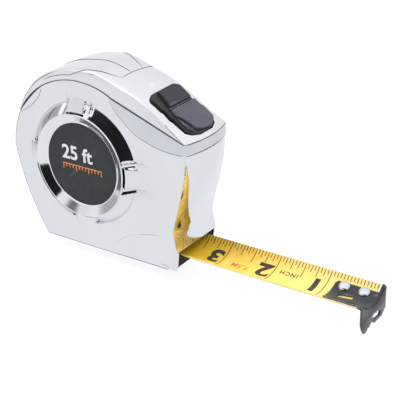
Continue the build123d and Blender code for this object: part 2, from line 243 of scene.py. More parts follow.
def maths(tree, op, a, b):
    """A maths node on sockets or plain numbers."""
    node = tree.nodes.new("ShaderNodeMath")
    node.operation = op
    for socket, value in zip(node.inputs, (a, b)):
        if isinstance(value, (int, float)):
            socket.default_value = value
        else:
            tree.links.new(value, socket)
    return node.outputs[0]


def blend_colours(tree, factor, a, b):
    """Mixes two colours, each a tuple or a socket."""
    node = tree.nodes.new("ShaderNodeMix")
    node.data_type = "RGBA"
    tree.links.new(factor, node.inputs["Factor"])
    for name, colour in (("A", a), ("B", b)):
        socket = next(s for s in node.inputs if s.name == name and s.type == "RGBA")
        if isinstance(colour, tuple):
            socket.default_value = (*colour, 1)
        else:
            tree.links.new(colour, socket)
    return next(s for s in node.outputs if s.type == "RGBA")


def make_material(name, dark, light, rough, metal=0, scale=60, fine=900, bump=0.05, wear_and_highlight=None,
                  specular=0.5, tint_along_x=None):
    """Procedural finish: tint and roughness drift over the surface, fine bump, and lighter edges that are
    part wear and part painted edge highlight.

    The last argument is (x where the blend starts, x where it ends, colour there) in metres; the colour
    turns towards it along x.
    """
    material = bpy.data.materials.new(name)
    material.use_nodes = True
    tree = material.node_tree
    shader = tree.nodes["Principled BSDF"]
    colour = blend_colours(tree, spread(tree, noise(tree, scale), 0, 1), dark, light)
    if tint_along_x:
        start, end, end_colour = tint_along_x
        place = tree.nodes.new("ShaderNodeTexCoord")
        axes = tree.nodes.new("ShaderNodeSeparateXYZ")
        tree.links.new(place.outputs["Object"], axes.inputs[0])
        along = spread(tree, axes.outputs["X"], 0, 1, start, end)
        colour = blend_colours(tree, along, colour, end_colour)
    if wear_and_highlight:
        # lighter convex edges, patchy: partly edge wear, partly a painted edge highlight
        geometry = tree.nodes.new("ShaderNodeNewGeometry")
        edge = spread(tree, geometry.outputs["Pointiness"], 0, WEAR_AND_HIGHLIGHT_MOST, WEAR_AND_HIGHLIGHT_FROM, WEAR_AND_HIGHLIGHT_TO)
        wear_and_highlight_patch = maths(tree, "MULTIPLY", edge, spread(tree, noise(tree, scale * 8), 0, 1))
        colour = blend_colours(tree, wear_and_highlight_patch, colour, wear_and_highlight)
    tree.links.new(colour, shader.inputs["Base Color"])
    tree.links.new(spread(tree, noise(tree, scale * 3), *rough), shader.inputs["Roughness"])
    set_inputs(shader, {"Metallic": metal, "Specular IOR Level": specular})
    grain = tree.nodes.new("ShaderNodeBump")
    set_inputs(grain, {"Strength": bump, "Distance": BUMP_DEPTH})
    tree.links.new(noise(tree, fine, 2), grain.inputs["Height"])
    tree.links.new(grain.outputs["Normal"], shader.inputs["Normal"])
    return material


chrome = make_material(
    "chrome", (0.74, 0.755, 0.79), (0.79, 0.8, 0.83), (0.045, 0.1), metal=1, scale=35, fine=500,
    bump=0.02, wear_and_highlight=(0.86, 0.87, 0.89))
chrome_brow = make_material(
    "chrome_brow", (0.6, 0.62, 0.67), (0.68, 0.7, 0.74), (0.06, 0.12), metal=1, scale=35, fine=500,
    bump=0.02, wear_and_highlight=(0.8, 0.81, 0.84))
chrome_rim = make_material(
    "chrome_rim", (0.76, 0.77, 0.8), (0.82, 0.83, 0.85), (0.04, 0.08), metal=1, fine=700, bump=0.015,
    wear_and_highlight=(0.9, 0.9, 0.92))
# painted gap shadow: a dark colour standing in for the shade inside the panel gaps and at the case's edges
gap_shadow_paint = make_material(
    "gap_shadow_paint", (0.05, 0.052, 0.06), (0.09, 0.092, 0.1), (0.45, 0.6), scale=80)
label_film = make_material(
    "label_film", (0.016, 0.02, 0.02), (0.024, 0.028, 0.028), (0.42, 0.55), scale=120, fine=2600,
    bump=0.08, wear_and_highlight=(0.08, 0.08, 0.08), specular=0.35)
print_white = make_material(
    "print_white", (0.62, 0.64, 0.66), (0.72, 0.74, 0.76), (0.35, 0.5), scale=300)
print_orange = make_material(
    "print_orange", (0.62, 0.17, 0.035), (0.78, 0.24, 0.05), (0.35, 0.5), scale=300)
# the toggle's one black plastic in lit and shaded copies: painted light on the front pad and ridge, dimmer
# on the rear pad and wing, painted shade on the sides of the base
toggle_painted_dim_rear = make_material(
    "toggle_painted_dim_rear", (0.014, 0.015, 0.024), (0.022, 0.023, 0.034), (0.4, 0.52), scale=90, fine=3200,
    bump=0.25, wear_and_highlight=(0.1, 0.1, 0.12), specular=0.35)
toggle_painted_lit_front = make_material(
    "toggle_painted_lit_front", (0.055, 0.06, 0.078), (0.075, 0.08, 0.1), (0.38, 0.5), scale=90, fine=3200,
    bump=0.25, wear_and_highlight=(0.14, 0.14, 0.17), specular=0.35)
toggle_painted_shade_side = make_material(
    "toggle_painted_shade_side", (0.01, 0.011, 0.012), (0.018, 0.019, 0.02), (0.36, 0.5), scale=90, fine=2400,
    bump=0.25, wear_and_highlight=(0.06, 0.06, 0.065), specular=0.35)
black_plastic = make_material(
    "black_plastic", (0.006, 0.006, 0.007), (0.012, 0.012, 0.013), (0.4, 0.6), scale=110, fine=2600,
    bump=0.25, wear_and_highlight=(0.04, 0.04, 0.04), specular=0.25)
rubber = make_material(
    "bumper_rubber", (0.005, 0.005, 0.006), (0.01, 0.01, 0.011), (0.55, 0.75), scale=140, fine=2200,
    bump=0.3, wear_and_highlight=(0.03, 0.03, 0.03), specular=0.2)
# the yellow turns lighter and paler along the blade towards its tip
blade_paint = make_material(
    "blade_paint", (0.84, 0.53, 0.04), (0.87, 0.57, 0.055), (0.3, 0.42), scale=45, fine=1800,
    wear_and_highlight=(0.9, 0.78, 0.35), specular=0.35, tint_along_x=(0.058, 0.125, (0.88, 0.63, 0.22)))
ink = make_material("ink", (0.018, 0.016, 0.012), (0.045, 0.038, 0.026), (0.4, 0.5), scale=600)
ink_thin = make_material("ink_thin", (0.03, 0.024, 0.01), (0.07, 0.055, 0.02), (0.4, 0.5), scale=600)
ink_red = make_material("ink_red", (0.6, 0.14, 0.02), (0.7, 0.22, 0.04), (0.4, 0.5), scale=600)
hook_steel = make_material(
    "hook_steel", (0.012, 0.013, 0.017), (0.022, 0.024, 0.03), (0.16, 0.28), scale=160, fine=1400,
    bump=0.2, wear_and_highlight=(0.22, 0.23, 0.25))
bright_steel = make_material(
    "bright_steel", (0.62, 0.63, 0.65), (0.72, 0.73, 0.75), (0.16, 0.3), metal=1, scale=200, fine=1500,
    wear_and_highlight=(0.8, 0.8, 0.82))
spring_steel = make_material(
    "spring_steel", (0.28, 0.29, 0.31), (0.38, 0.39, 0.41), (0.25, 0.4), metal=1, scale=150, fine=1200,
    wear_and_highlight=(0.5, 0.5, 0.52))
coil_edge = make_material(
    "coil_edge", (0.55, 0.42, 0.06), (0.72, 0.56, 0.1), (0.4, 0.55), fine=4000, bump=0.3,
    wear_and_highlight=(0.8, 0.7, 0.3))
grey_plastic = make_material(
    "grey_plastic", (0.13, 0.13, 0.14), (0.18, 0.18, 0.19), (0.4, 0.55), scale=100, fine=2200, bump=0.2,
    wear_and_highlight=(0.28, 0.28, 0.3))

# CAD nodes that keep their shape, with their finish
CARRIED = [(black_plastic, ["base_plate", "mouth_guide"]),
           (rubber, ["hook_bumper", "brake_shoe"]),
           (grey_plastic, ["arbor", "reel_drum", "reel_flange_left", "reel_flange_right", "brake_arm"]),
           (bright_steel, ["toggle_pin", "case_screws", "clip_screw"]),
           (spring_steel, ["detent_spring", "belt_clip", "power_spring"]),
           (coil_edge, ["blade_coil"])]
EDGE = 0.18  # rounding of their edges
SOFT_EDGE = {"belt_clip": 0.3, "hook_bumper": 0.3}
for finish, node_names in CARRIED:
    for node_name in node_names:
        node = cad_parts[node_name]
        node.data.materials.clear()
        node.data.materials.append(finish)
        add_bevel(node, SOFT_EDGE.get(node_name, EDGE))


# ---- case outline in side view
HEEL, TOE, LIP = (-25.5, 0), (49.2, 0), (50.4, MOUTH_Z)
CORNER, BEND, BACK = (55.9, 63), (17, 77), (-41.9, 43)
TOP_MID, BACK_MID = (-20, 76.9), (-36.2, 21.5)  # the top's and the back's arcs pass through these
FRONT = [LIP, (48.9, 17.5), (49.5, 23.5), (52.9, 36.3), (55.2, 47), (55.9, 56), CORNER]
FRONT_PATH = smooth_path(FRONT, 24)
FRONT_LINE = [(p.y, p.x) for p in FRONT_PATH]
ARC_X, ARC_Z, ARC_R = -1, 40, 41.3  # circle of the sides' top edge behind BEND
BOW_EDGE, BOW_RISE, BOW_Z = 0.2, 2.8, 55  # bulge at the mouth, what it gains, height of the most


def line_points(a, b):
    """Points from a up to b without b, about 0.55 apart."""
    count = max(1, round(math.dist(a, b) / 0.55))
    return list(zip(even(a[0], b[0], count), even(a[1], b[1], count)))[:-1]


def case_outline():
    """Closed outline of the sides, anticlockwise from the heel."""
    front = [(p.x, p.y) for p in FRONT_PATH]
    top = arc_through(BEND, TOP_MID, BACK, 130)
    rear = arc_through(BACK, BACK_MID, HEEL, 84)
    return line_points(HEEL, TOE) + line_points(TOE, LIP) + front[:-1] + line_points(CORNER, BEND) \
        + top[:-1] + rear[:-1]


def front_x(z):
    """Front of the case at height z."""
    return read_off(FRONT_LINE, z)


def bow(z):
    """How far the front bulges forward in the middle at height z."""
    share = (z - MOUTH_Z) / (BOW_Z - MOUTH_Z)
    return BOW_EDGE + BOW_RISE * math.sin(min(1.15, max(0, share)) * math.pi / 2) ** 1.5


# ---- side skins
INNER_R = 24.75  # inner edge of the skin, under the bezel's rim
FLANK_R, FLANK_SLOPE = 29.3, 0.98  # the flank rises from here towards the bezel
STEP, STEP_RUN = 0.75, 0.35  # sunk step at the foot of the flank
PAD_R, PAD_SLOPE = 31.6, 0.46  # the four pads start further out and rise less
PAD_DROP_R, PAD_DROP = 25.5, 2.2  # they fall off next to the bezel
PAD_ANGLES = (-2, 93, 179.5, -90)
PAD_HALF = 4.5
PAD_EDGE = 0.9
# dished corner at the back of the top, and low sweep in front of the base:
# centre, radius, slope, depth at the rim, greatest depth
DISHES = [((-40.3, 80.3), 18.7, 0.16, 0.1, 1.3), ((45, -19.5), 36.6, 0.035, 0.05, 0.5)]
# rounding of the sides' edge: inset from the outline, drop below the side's level
EDGE_RINGS = [(1.2, 0), (0.7, 0.03), (0.35, 0.12), (0.12, 0.32), (0, 0.62), (0, 1.5)]
# each flute: inner angle, inner radius, outer angle, outer radius, half width, depth
FLUTES = [(13, 27.5, 9, 42.5, 1.2, 0.75), (-16, 25.5, -8, 42.5, 1.7, 1.1),
          (77.5, 27.5, 82, 37, 1.4, 0.8), (109, 26, 102.5, 37.5, 1.8, 0.9),
          (165, 28.5, 170, 37.5, 0.9, 0.4), (-167.5, 28.5, -171, 37.5, 0.9, 0.4),
          (-76, 28, -79, 36.8, 1.1, 0.5), (-106, 28.5, -97, 37, 1.1, 0.5)]


def flute_depth(x, z):
    """Depth of the tapered cuts that run out from the bezel."""
    depth = 0
    for a0, r0, a1, r1, half, deep in FLUTES:
        a0, a1 = math.radians(a0), math.radians(a1)
        start = Vector((r0 * math.cos(a0), r0 * math.sin(a0)))
        run = Vector((r1 * math.cos(a1), r1 * math.sin(a1))) - start
        rel = Vector((x, z - AXLE_Z)) - start
        t = rel.dot(run) / run.length_squared
        off = abs(rel.x * run.y - rel.y * run.x) / run.length
        width = half * (1 - t)
        if -0.15 < t < 1 and off < width:
            depth = max(depth, deep * (1 - max(t, 0)) * (1 - off / width) ** 0.7)
    return depth


def relief(x, z):
    """How far a side stands out beyond its flat level at a point."""
    r = math.hypot(x, z - AXLE_Z)
    angle = math.degrees(math.atan2(z - AXLE_Z, x))
    rise = 0
    if r < FLANK_R:
        rise = (FLANK_R - r) * FLANK_SLOPE - STEP
    elif r < FLANK_R + STEP_RUN:
        rise = -STEP * (1 - (r - FLANK_R) / STEP_RUN)
    if r < PAD_R:
        pad = (PAD_R - r) * PAD_SLOPE
        if r < PAD_DROP_R:
            pad -= PAD_DROP
        for axis in PAD_ANGLES:
            away = math.radians(angle - axis)
            off = abs(r * math.sin(away))
            if math.cos(away) > 0 and off < PAD_HALF + PAD_EDGE:
                rise += (pad - rise) * (1 - ramp(off, PAD_HALF, PAD_HALF + PAD_EDGE))
    else:
        for centre, radius, slope, start, most in DISHES:
            inside = radius - math.dist((x, z), centre)
            if inside > 0:
                rise -= min(most, slope * inside + start)
    return rise - flute_depth(x, z)


def side_column(x, z, side):
    """Points of a side's skin from the bezel out to (x, z) on the outline."""
    reach = math.hypot(x, z - AXLE_Z)
    ux, uz = x / reach, (z - AXLE_Z) / reach
    last = reach - EDGE_RINGS[0][0]
    radii = even(INNER_R, FLANK_R, 12) + [FLANK_R + 0.18, FLANK_R + 0.36] + even(FLANK_R + 0.6, last, 56)
    column = []
    for r in radii:
        px, pz = r * ux, AXLE_Z + r * uz
        column.append(Vector((px, side * (HALF + min(relief(px, pz), RIM_Y - HALF)), pz)))
    edge_lift = relief(last * ux, AXLE_Z + last * uz)
    for inset, drop in EDGE_RINGS[1:]:
        r = reach - inset
        column.append(Vector((r * ux, side * (HALF + edge_lift - drop), AXLE_Z + r * uz)))
    return column


def side_skin(side, name, node):
    """Polar skin of one side, from the bezel to the case's edge."""
    bm = bmesh.new()
    add_grid(bm, [side_column(x, z, side) for x, z in case_outline()], closed=True)
    finish_mesh(name, bm, chrome, "case", [node], sharp=20)


side_skin(-1, "side_skin_left", "left_cover")
side_skin(1, "side_skin_right", "right_cover")


# ---- front, base and back between the sides
BAND_HALF = HALF - 0.25
WIDTHS = [-1, -0.97, -0.9] + even(-0.75, 0.75, 10) + [0.9, 0.97, 1]


def band_row(x, z, bulge=0):
    """Points across the case at x and z, bulging forward in the middle."""
    return [Vector((x + bulge * (1 - k * k), k * BAND_HALF, z)) for k in WIDTHS]


def case_band():
    """The front down to the inside of the mouth, and the back with the base."""
    bm = bmesh.new()
    wall = [band_row(LIP[0] - 2, MOUTH_Z + 6), band_row(LIP[0] - 1.9, MOUTH_Z - 0.05),
            band_row(LIP[0] - 0.3, MOUTH_Z - 0.05, BOW_EDGE)]
    add_grid(bm, wall + [band_row(front_x(z), z, bow(z)) for z in even(MOUTH_Z, CORNER[1], 60)])
    base_end = span("hook_bumper")[0].x + 3.5
    top_back = [p for p in arc_through(BEND, TOP_MID, BACK, 100) if p[0] < TOP_MID[0]]
    back = arc_through(BACK, BACK_MID, HEEL, 60)
    shell = [band_row(x, z) for x, z in top_back + back[1:]]
    shell += [band_row(x, 0) for x in even(HEEL[0], base_end, 30)[1:]]
    shell += [band_row(base_end, 1.8), band_row(base_end - 4, 1.9)]
    add_grid(bm, shell)
    finish_mesh("case_band", bm, chrome, "case", ["case_frame"], sharp=28, merge=0.001)


case_band()


# ---- crown
CROWN_TOP = [(-37, 62.6), (-33.5, 69.5), (-26, 78), (-14.4, 84.3), (-0.5, 86.9), (7.5, 86.9),
             (17.4, 84.1), (33, 78.3), (45, 70.8), (56, 63.9)]
CROWN_LINE = [(p.x, p.y) for p in smooth_path(CROWN_TOP, 12)]
CROWN_END = CROWN_TOP[-1][0]
CROWN_SAG, CROWN_HALF = 0.35, 14  # the flat of the crown falls this much at its edge
SWELL_FROM = 46  # from here the crown follows the bowed front
# shoulder's cross-section: distance from the middle at the back and at the front of the crown,
# and share of the height above the sides
SHOULDER = [(16, 16, -0.06), (16, 15.72, 0.16), (15.97, 15.35, 0.42), (15.86, 15.05, 0.62),
            (15.6, 14.8, 0.78), (15.2, 14.65, 0.885), (14.6, 13.9, 0.96), (13.8, 13, 0.99),
            (12.6, 12, 1)]


def edge_line(x):
    """Height of the sides' top edge, where the crown starts."""
    if x > BEND[0]:
        return BEND[1] + (CORNER[1] - BEND[1]) * (x - BEND[0]) / (CORNER[0] - BEND[0])
    return ARC_Z + math.sqrt(max(0, ARC_R ** 2 - (x - ARC_X) ** 2))


def crown_z(x, y=0):
    """Height of the crown's skin over a point."""
    return read_off(CROWN_LINE, x) - CROWN_SAG * (y / CROWN_HALF) ** 2


def shoulder_point(x, top, share_at):
    """Distance from the middle and height on the crown's shoulder; share_at runs along SHOULDER."""
    low = min(edge_line(x) + 0.12, top - 0.4)
    index = min(int(share_at), len(SHOULDER) - 2)
    part = share_at - index
    y0, y1, share = (a + (b - a) * part for a, b in zip(SHOULDER[index], SHOULDER[index + 1]))
    lean = ramp(x, -2, 20) * min(1, (top - low) / 6)
    return y0 + (y1 - y0) * lean, low + (top - 0.3 - low) * share


TOGGLE_FALL = 0.648  # drop of the toggle's top per millimetre forward
TOGGLE_RISE = 4.35  # height over the pin that the toggle is drawn from
SLOPE = math.atan(TOGGLE_FALL)
ALONG = Vector((math.cos(SLOPE), 0, -math.sin(SLOPE)))
OUT = Vector((math.sin(SLOPE), 0, math.cos(SLOPE)))
TOGGLE_AT = Vector((PIN.x, 0, PIN.z + TOGGLE_RISE))
WELL = [(-11.95, -7.3), (-9.9, -10.95), (-2, -10.95), (11.9, -10.8), (14.1, -8.9), (15.8, -4.7)]
WELL_REACH, WELL_DEPTH = 22, 14  # only crown faces this near and this high are cut


def on_toggle(u, v, h):
    """u along the slope from over the pin, v across, h above the slope."""
    return TOGGLE_AT + ALONG * u + Vector((0, v, 0)) + OUT * h


def mirrored(points):
    """An outline closed by its own mirror image across the toggle's middle."""
    return points + [(u, -v) for u, v in reversed(points)]


def cut_toggle_well(bm):
    """Opens the crown under the toggle, so the toggle can sink into it."""
    loop = [Vector(p) for p in mirrored(WELL)]
    walls = []
    for a, b in zip(loop, loop[1:] + loop[:1]):
        edge = (b - a).normalized()
        normal = ALONG * edge.y + Vector((0, -edge.x, 0))
        walls.append((on_toggle(a.x, a.y, 0), normal))
    for spot, normal in walls:
        near = [f for f in bm.faces if (f.calc_center_median() - TOGGLE_AT).length < WELL_REACH]
        parts = list({v for f in near for v in f.verts}) + list({e for f in near for e in f.edges}) + near
        bmesh.ops.bisect_plane(bm, geom=parts, plane_co=spot, plane_no=normal)
    inside = [f for f in bm.faces if f.calc_center_median().z > TOGGLE_AT.z - WELL_DEPTH
              and all((f.calc_center_median() - spot).dot(normal) < 0 for spot, normal in walls)]
    bmesh.ops.delete(bm, geom=inside, context="FACES")


def crown_row(x, top):
    """Points across the crown at x, where its middle is top high."""
    shoulder = [shoulder_point(x, top, k) for k in range(len(SHOULDER))]
    row = [Vector((x, -y, z)) for y, z in shoulder]
    row += [Vector((x, y, crown_z(x, y))) for y in (-10.5, -8, -5.5, -3, 0, 3, 5.5, 8, 10.5)]
    row += [Vector((x, y, z)) for y, z in reversed(shoulder)]
    for v in row:
        swell = bow(CORNER[1]) * ramp(v.x, SWELL_FROM, CROWN_END) * (1 - (v.y / SHOULDER[0][0]) ** 2)
        v.x += swell
        v.z -= swell * 0.3
    return row


def crown():
    """The raised top, folded down over the front at its end."""
    rows = [crown_row(x, top) for x, top in CROWN_LINE]
    lip_z = edge_line(CROWN_END) + 0.4
    lip = [Vector((v.x + 0.12, v.y, min(v.z, lip_z) - 0.35)) for v in rows[-1]]
    under = [Vector((v.x - 0.1, v.y * 0.985, v.z - 1.2)) for v in lip]
    bm = bmesh.new()
    add_grid(bm, rows + [lip, under])
    cut_toggle_well(bm)
    finish_mesh("crown", bm, chrome, "case", ["top_cover"], sharp=30)


crown()


# ---- brow: the raised panel under the crown, from one side round the front to the other
BROW_LOW = [(16.2, 76.9), (18.8, 72.2), (23.2, 67.8), (29.1, 63.1), (36.5, 60.1), (45.3, 58.1), (55.1, 57.9)]
BROW_PATH = smooth_path(BROW_LOW, 10)
BROW_LINE = [(p.x, p.y) for p in BROW_PATH]
BROW_OUT = 0.32
BROW_FOLD = 0.12  # height of the rounded edge
BROW_START, BROW_END = 16.4, 55.4


def brow_column(point_at, low, high):
    """A column of the brow with folded edges; point_at(z, out) gives a point on the case."""
    column = [point_at(low, -0.3), point_at(low, BROW_OUT * 0.6), point_at(low + BROW_FOLD, BROW_OUT)]
    column += [point_at(z, BROW_OUT) for z in even(low, high, 8)[1:-1]]
    column += [point_at(high - BROW_FOLD, BROW_OUT), point_at(high, BROW_OUT * 0.6), point_at(high, -0.3)]
    return column


def brow_side(side):
    """Columns of the brow on a side, from the back to the front."""
    columns = []
    for x in even(BROW_START, BROW_END, 60):
        low = read_off(BROW_LINE, x)
        high = max(edge_line(x) - 0.18, low + 0.3)
        columns.append(brow_column(lambda z, out: Vector((x, side * (HALF + out), z)), low, high))
    return columns


def brow_front():
    """Columns of the brow across the front, from the near side to the far side."""
    columns = []
    high = edge_line(CROWN_END) - 0.15
    for turn in even(-1, 1, 40):
        low = read_off(BROW_LINE, 55) - 0.15 + 0.25 * (1 - abs(turn)) ** 0.5

        def on_front(z, out):
            corner = 0.98 if abs(turn) > 0.97 else 1
            reach = front_x(z) + bow(z) * (1 - turn * turn) + out * corner
            return Vector((reach, turn * (HALF + out * 0.5), z))
        columns.append(brow_column(on_front, low, high))
    return columns


bm = bmesh.new()
add_grid(bm, brow_side(-1) + brow_front() + list(reversed(brow_side(1))))
finish_mesh("brow", bm, chrome_brow, "case", (), sharp=38)


# ---- painted gap shadows: thin dark beads let into the skins, standing in for the shade in the panel gaps and along the case's edges
BROW_FOOT = 57.7  # height of the brow's lower edge on the front
FACET = [(-36.9, 60.1), (-30.5, 63.9), (-25.2, 69), (-22.6, 74)]
SWEEP = [(14.4, 4.8), (22.9, 11.2), (30.9, 14.2), (41.5, 16.6)]
SEAM_X, SEAM_RUN = -21, 27.5  # start and length of the seam on the shoulder
SEAM_END = [(8.6, 11.6), (11, 10.8), (13.2, 9.9), (15.4, 8.9), (17.6, 7.9)]
CROSS_X, CROSS_CURVE = 17.4, 0.0075  # seam across the crown, bent back in the middle
ON_CROWN = 0.02  # the beads on the crown lie this far above it


def gap_shadow_line(bm, points, radius):
    """A bead along plain points."""
    add_tube(bm, [Vector(p) for p in points], radius)


def on_side(path, y, lift=0):
    """A flat path laid on a side at y."""
    return [(p.x, y, p.y + lift) for p in path]


def shoulder_seam(side):
    """Seam that climbs the shoulder and turns in over the crown."""
    seam = []
    for x in even(SEAM_X, SEAM_X + SEAM_RUN, 24):
        y, z = shoulder_point(x, crown_z(x), 2.3 + 5.2 * ramp(x, -6, 7))
        seam.append((x, side * (y + 0.03), z + ON_CROWN))
    return seam + [(x, side * y, crown_z(x, y) + ON_CROWN) for x, y in SEAM_END]


def across_front(z, out, lift):
    """Points across the front at height z, moved out and up."""
    return [(front_x(z) + bow(z) * (1 - share ** 2) + out, share * HALF, z + lift)
            for share in even(-1, 1, 40)]


bm = bmesh.new()
for side in (-1, 1):
    edge = [(x, side * (HALF + 0.04 + (BROW_OUT - 0.1) * ramp(x, 16, 19)), edge_line(x) + 0.02)
            for x in even(-36.5, 55.8, 150)]
    gap_shadow_line(bm, edge, 0.24)
    gap_shadow_line(bm, on_side(smooth_path(FACET, 10), side * (HALF - 0.02)), 0.11)
    gap_shadow_line(bm, on_side(smooth_path(SWEEP, 10), side * (HALF - 0.06)), 0.07)
    gap_shadow_line(bm, on_side(BROW_PATH, side * (HALF + 0.08), -0.06), 0.2)
    gap_shadow_line(bm, shoulder_seam(side), 0.17)
gap_shadow_line(bm, across_front(BROW_FOOT, 0.12, 0.02), 0.2)
gap_shadow_line(bm, across_front(CORNER[1], 0.2, -0.05), 0.22)
gap_shadow_line(bm, [(x, 0, z + ON_CROWN) for x, z in CROWN_LINE if -30 < x < 17.5], 0.15)
cross = [(CROSS_X + CROSS_CURVE * y * y, y) for y in range(-8, 15)]
gap_shadow_line(bm, [(x, y, crown_z(x, y) + ON_CROWN) for x, y in cross], 0.15)
finish_mesh("painted_gap_shadows", bm, gap_shadow_paint, "case", ())


# ---- bezels and labels
def lathe(bm, profile, side, steps=180):
    """Turns (radius, distance from the middle plane) round the axle."""
    rows = []
    for k in range(steps):
        a = 2 * math.pi * k / steps
        rows.append([Vector((r * math.cos(a), side * y, AXLE_Z + r * math.sin(a))) for r, y in profile])
    add_grid(bm, rows, closed=True)


# inner bead, straight slope and rim of the bezel as (radius, distance from the middle plane)
BEZEL = [(19.7, LABEL_Y - 0.7), (19.85, LABEL_Y + 0.12), (20, LABEL_Y + 0.3), (20.2, LABEL_Y + 0.32),
         (20.4, LABEL_Y + 0.12)]
BEZEL += zip(even(20.6, 24.1, 8), even(LABEL_Y + 0.22, RIM_Y - 0.22, 8))
BEZEL += [(24.3, RIM_Y - 0.08), (24.5, RIM_Y - 0.02), (24.68, RIM_Y - 0.1), (24.8, RIM_Y - 0.35),
          (24.85, HALF + 0.2), (24.85, HALF - 1)]

for side, word in ((-1, "left"), (1, "right")):
    bm = bmesh.new()
    lathe(bm, BEZEL, side)
    finish_mesh(f"bezel_ring_{word}", bm, chrome_rim, "case", [f"bezel_{word}"], sharp=24)
    bm = bmesh.new()
    disc = [(0.05, LABEL_Y - 0.02), (5, LABEL_Y - 0.03), (10, LABEL_Y - 0.05), (15, LABEL_Y - 0.08),
            (19, LABEL_Y - 0.12), (19.72, LABEL_Y - 0.2), (19.78, LABEL_Y - 0.6)]
    if side > 0:  # the far label has a hole for the clip's screw
        disc = [(3.1, LABEL_Y - 0.6), (3.1, LABEL_Y - 0.05)] + disc[1:]
    lathe(bm, disc, side)
    finish_mesh(f"label_face_{word}", bm, label_film, "case", [f"label_{word}"])


def filled(curve):
    """Turns a flat curve or text into a bmesh, and removes it."""
    holder = add_object("flat", curve)
    bpy.context.view_layer.update()
    mesh = bpy.data.meshes.new_from_object(holder.evaluated_get(bpy.context.evaluated_depsgraph_get()))
    bpy.data.objects.remove(holder)
    bm = bmesh.new()
    bm.from_mesh(mesh)
    bpy.data.meshes.remove(mesh)
    bpy.data.curves.remove(curve)
    return bm


def text_mesh(words, size, boldness=0, spacing=1):
    """Flat text as a bmesh in millimetres, left end at the origin, lying in x and y."""
    curve = bpy.data.curves.new("words", "FONT")
    curve.body = words
    curve.size = size
    curve.offset = boldness
    curve.space_character = spacing
    curve.resolution_u = 5
    return filled(curve)


def move_verts(bm, place):
    """Moves every point of a bmesh to place(point)."""
    for v in bm.verts:
        v.co = place(v.co)


def slice_across(bm, y, stop, step):
    """Cuts a flat bmesh every step across y, so it can follow the blade's curve."""
    while y < stop:
        geom = bm.verts[:] + bm.edges[:] + bm.faces[:]
        bmesh.ops.bisect_plane(bm, geom=geom, plane_co=(0, y, 0), plane_no=(0, 1, 0))
        y += step


PRINT_LIFT = 0.03
SCALE_TOP, SCALE_BAR, SCALE_HALF = -1.5, 0.45, 11  # printed scale under the words, from the axle
SCALE_TICK = 0.25


def label_bar(bm, u0, u1, v0, v1):
    """A printed bar on the near label."""
    add_prism(bm, [(u0, v0), (u1, v0), (u1, v1), (u0, v1)], LABEL_Y - 0.02, LABEL_Y + PRINT_LIFT,
              lambda u, v, h: Vector((u, -h, AXLE_Z + v)))


bm = text_mesh("25 ft", 9.4, 0.22)
move_verts(bm, lambda p: Vector((p.x - 11.5, -(LABEL_Y + PRINT_LIFT), AXLE_Z + 1.4 + p.y)))
finish_mesh("label_words", bm, print_white, "case", ())
bm = bmesh.new()
for k, x in enumerate(even(-SCALE_HALF, SCALE_HALF, 12)):
    tall = 2.4 if k % 4 == 0 else 1.4
    label_bar(bm, x - SCALE_TICK, x + SCALE_TICK, SCALE_TOP - tall, SCALE_TOP)
label_bar(bm, -SCALE_HALF - SCALE_TICK, SCALE_HALF + SCALE_TICK, SCALE_TOP, SCALE_TOP + SCALE_BAR)
finish_mesh("label_scale", bm, print_orange, "case", ())


# ---- blade
SPLIT_X = 66  # the blade inside this is a piece of its own
REEL_X, REEL_Z = 3, 9.9  # where the blade leaves the reel, still flat
CURVED_X = 36  # from here on it has its full curve
BLADE_T = 0.25
FLAT_HALF = BLADE_R * math.asin(BLADE_HALF / BLADE_R)


def blade_z(y):
    """Height of the blade's upper side at y."""
    return BLADE_CZ - math.sqrt(BLADE_R ** 2 - y * y)


def blade_point(x, y, out=0):
    """Point on the blade where y is measured in the flat print, out above the paint."""
    a = y / BLADE_R
    r = BLADE_R - out
    return Vector((x, r * math.sin(a), BLADE_CZ - r * math.cos(a)))


def blade_sheet(bm, stations):
    """Strip with its thickness, flat at the reel and curved further out."""
    rows = []
    for x in stations:
        share = ramp(x, REEL_X, CURVED_X)
        top = []
        bottom = []
        for flat in even(-FLAT_HALF, FLAT_HALF, 24):
            level = Vector((x, flat * 0.99, REEL_Z))
            top.append(level.lerp(blade_point(x, flat), share))
            under = blade_point(x, flat, -BLADE_T)
            bottom.append((level - Vector((0, 0, BLADE_T))).lerp(under, share))
        rows.append(top + list(reversed(bottom)) + [top[0].copy()])
    add_grid(bm, rows)
    for row in (rows[0], rows[-1]):
        half = len(row) // 2
        for i in range(half - 1):
            quad = [row[i], row[i + 1], row[2 * half - 2 - i], row[2 * half - 1 - i]]
            bm.faces.new([bm.verts.new(p) for p in quad])


bm = bmesh.new()
blade_sheet(bm, even(SPLIT_X, BLADE_TIP - BLADE_SHORT, 40))
finish_mesh("blade_strip", bm, blade_paint, "blade", ["blade"], merge=0.002)
bm = bmesh.new()
blade_sheet(bm, even(REEL_X, SPLIT_X, 40))
inner_blade = finish_mesh("blade_inner", bm, blade_paint, "blade", (), merge=0.002)

INCH = 25.4
TICK_LENGTHS = {8: 7.8, 4: 5.4, 2: 3.9, 1: 2.7}  # by the sixteenths that a tick divides
TICK, FINE_TICK = 0.19, 0.14  # half widths
MARGIN = 0.25  # from the blade's edge to the print


def add_mark(bm, x0, x1, y0, y1):
    """A printed bar on the blade between flat positions."""
    ys = even(y0, y1, max(1, math.ceil(abs(y1 - y0))))
    add_grid(bm, [[blade_point(x, y, PRINT_LIFT) for y in ys] for x in (x0, x1)])


def tick_length(k):
    """Length of the tick at k sixteenths of an inch."""
    return next(length for step, length in TICK_LENGTHS.items() if k % step == 0)


